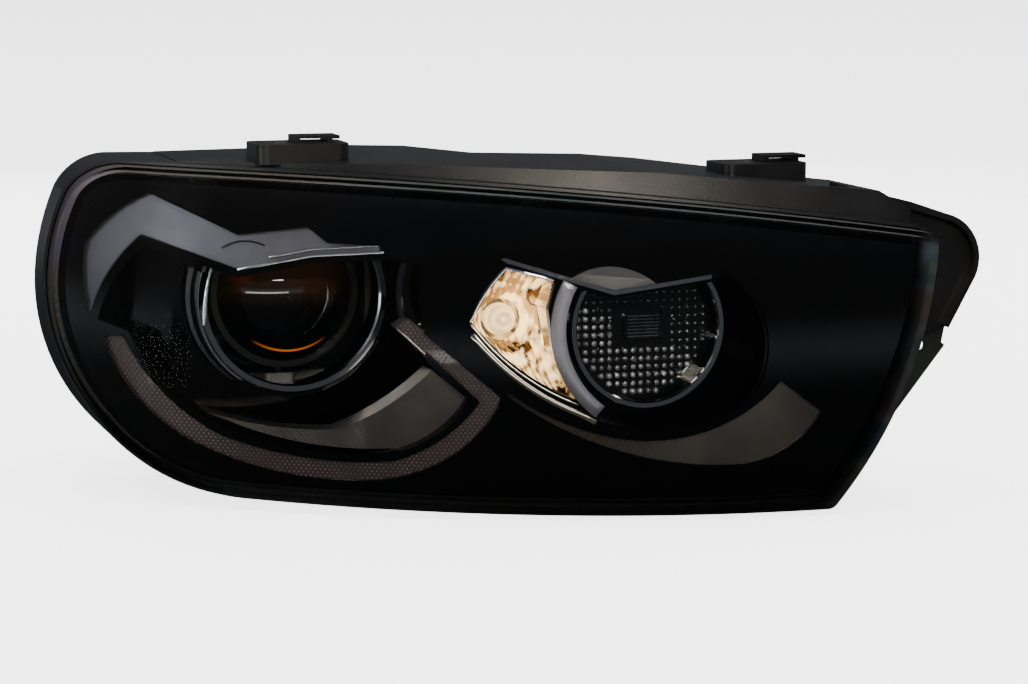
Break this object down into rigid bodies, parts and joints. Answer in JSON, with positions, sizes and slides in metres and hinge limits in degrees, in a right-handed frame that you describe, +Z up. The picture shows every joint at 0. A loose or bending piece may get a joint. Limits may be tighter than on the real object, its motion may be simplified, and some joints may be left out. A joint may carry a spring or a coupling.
{
  "type": "car headlight assembly",
  "caption": "Car headlight assembly with a swivelling, self-levelling projector and a fixed side lamp behind a swept clear cover.",
  "frame": {"origin": "centre of the main upper bolt hole, on the top face of its pad, above the projector's optical axis", "axes": "+X inboard along the lamp's width, +Y rearward into the car, +Z up along the upper bolt"},
  "size_m": [0.4756, 0.2869, 0.1909],
  "materials": {
    "clear_cover": "clear polycarbonate, hard coated",
    "black_housing": "black glass-filled polypropylene",
    "black_bezel": "gloss black moulding",
    "seal": "soft black sealant and rubber",
    "satin_chrome": "satin aluminised plastic",
    "chrome": "bright aluminised plastic",
    "silver_trim": "silver lacquered plastic",
    "light_guide": "prismatic clear acrylic",
    "clear_glass": "polished glass",
    "optic": "moulded clear optic",
    "cast_aluminium": "die-cast aluminium",
    "reflector": "aluminised reflector",
    "steel": "zinc plated steel",
    "grey_plastic": "grey technical plastic",
    "nylon": "natural nylon",
    "bracket_green": "dark grey-green plastic",
    "black_plastic": "black technical plastic"
  },
  "bodies": {
    "housing": {"front_cover": "clear_cover", "cover_seal": "seal", "housing": "black_housing", "mount_sleeves": "steel", "spring_clips": "steel", "side_bracket": "bracket_green", "cap_seals": "seal", "ballast": "cast_aluminium", "led_driver": "cast_aluminium", "module_screws": "steel", "main_connector": "grey_plastic", "breather": "black_plastic", "level_motor": "black_plastic", "motor_seal": "seal", "bezel": "black_bezel", "bezel_screws": "steel", "brow_blade": "satin_chrome", "lower_scoop": "silver_trim", "projector_bowl": "black_bezel", "projector_trim": "chrome", "drl_guide": "light_guide", "guide_tray": "silver_trim", "turn_reflector": "reflector", "side_bowl": "black_bezel", "side_trim": "chrome", "side_optic": "optic", "side_reflector": "reflector", "side_scoop": "silver_trim", "side_brow": "chrome", "pivot_stud": "steel"},
    "projector_cap": {"projector_cap": "black_plastic"},
    "side_cap": {"side_cap": "black_plastic"},
    "turn_socket": {"turn_holder": "grey_plastic", "turn_bulb": "clear_glass"},
    "side_bulb": {"side_bulb": "grey_plastic"},
    "level_spindle": {"level_spindle": "nylon"},
    "horizontal_adjuster": {"horizontal_adjuster": "nylon"},
    "vertical_adjuster": {"vertical_adjuster": "nylon"},
    "aim_sockets": {"pivot_socket": "nylon", "aim_nut": "nylon"},
    "carrier": {"carrier_frame": "cast_aluminium", "swivel_motor": "black_plastic"},
    "projector": {"projector_lens": "clear_glass", "lens_holder": "cast_aluminium", "projector_reflector": "reflector", "swivel_pins": "steel", "swivel_sector": "nylon", "shutter_motor": "black_plastic", "xenon_burner": "clear_glass", "burner_ring": "steel", "igniter": "cast_aluminium"},
    "shutter": {"shutter": "steel"},
    "pinion": {"swivel_pinion": "nylon"}
  },
  "joints": [
    {"name": "aim_yaw", "type": "hinge", "parent": "housing", "child": "aim_sockets", "pos_m": [0.062, 0.036, -0.034], "axis": [0, 0, 1], "range_deg": [-2.5, 2.5]},
    {"name": "carrier_tilt", "type": "hinge", "parent": "aim_sockets", "child": "carrier", "pos_m": [0.062, 0.036, -0.034], "axis": [1, 0, 0], "range_deg": [-3, 3]},
    {"name": "projector_swivel", "type": "hinge", "parent": "carrier", "child": "projector", "pos_m": [0.0035, 0.02, -0.08], "axis": [0, 0, 1], "range_deg": [-15, 7.5]},
    {"name": "pinion_spin", "type": "hinge", "parent": "carrier", "child": "pinion", "pos_m": [0.0035, 0.052, -0.138], "axis": [0, 0, 1], "range_deg": [-33, 66]},
    {"name": "shutter_drop", "type": "hinge", "parent": "projector", "child": "shutter", "pos_m": [0.0035, 0.031, -0.112], "axis": [1, 0, 0], "range_deg": [0, 25], "stiffness_Nm_per_rad": 0.02, "springref_deg": -20.05},
    {"name": "level_slide", "type": "slide", "parent": "housing", "child": "level_spindle", "axis": [0, 1, 0], "range_m": [-0.0057, 0.0057]},
    {"name": "vertical_adjuster_spin", "type": "hinge", "parent": "housing", "child": "vertical_adjuster", "pos_m": [0.017, 0.09, -0.161], "axis": [0, 1, 0], "range_deg": [-340, 340]},
    {"name": "horizontal_adjuster_spin", "type": "hinge", "parent": "housing", "child": "horizontal_adjuster", "pos_m": [-0.06, 0.09, -0.034], "axis": [0, 1, 0], "range_deg": [-325, 325]},
    {"name": "projector_cap_twist", "type": "hinge", "parent": "housing", "child": "projector_cap", "pos_m": [0.0035, 0.11, -0.08], "axis": [0, 1, 0], "range_deg": [0, 25]},
    {"name": "side_cap_twist", "type": "hinge", "parent": "housing", "child": "side_cap", "pos_m": [0.171, 0.06, -0.092], "axis": [0, 1, 0], "range_deg": [0, 25]},
    {"name": "turn_socket_twist", "type": "hinge", "parent": "housing", "child": "turn_socket", "pos_m": [0.104, -0.04, -0.09], "axis": [0, 1, 0], "range_deg": [0, 30]},
    {"name": "side_bulb_twist", "type": "hinge", "parent": "housing", "child": "side_bulb", "pos_m": [0.171, -0.03, -0.092], "axis": [0, 1, 0], "range_deg": [0, 30]}
  ],
  "couplings": [
    {"joint": "pinion_spin", "follows": "projector_swivel", "ratio": -4.3333},
    {"joint": "level_slide", "follows": "carrier_tilt", "m_per_rad": 0.106},
    {"joint": "vertical_adjuster_spin", "follows": "carrier_tilt", "ratio": 111},
    {"joint": "horizontal_adjuster_spin", "follows": "aim_yaw", "ratio": 127.8}
  ]
}
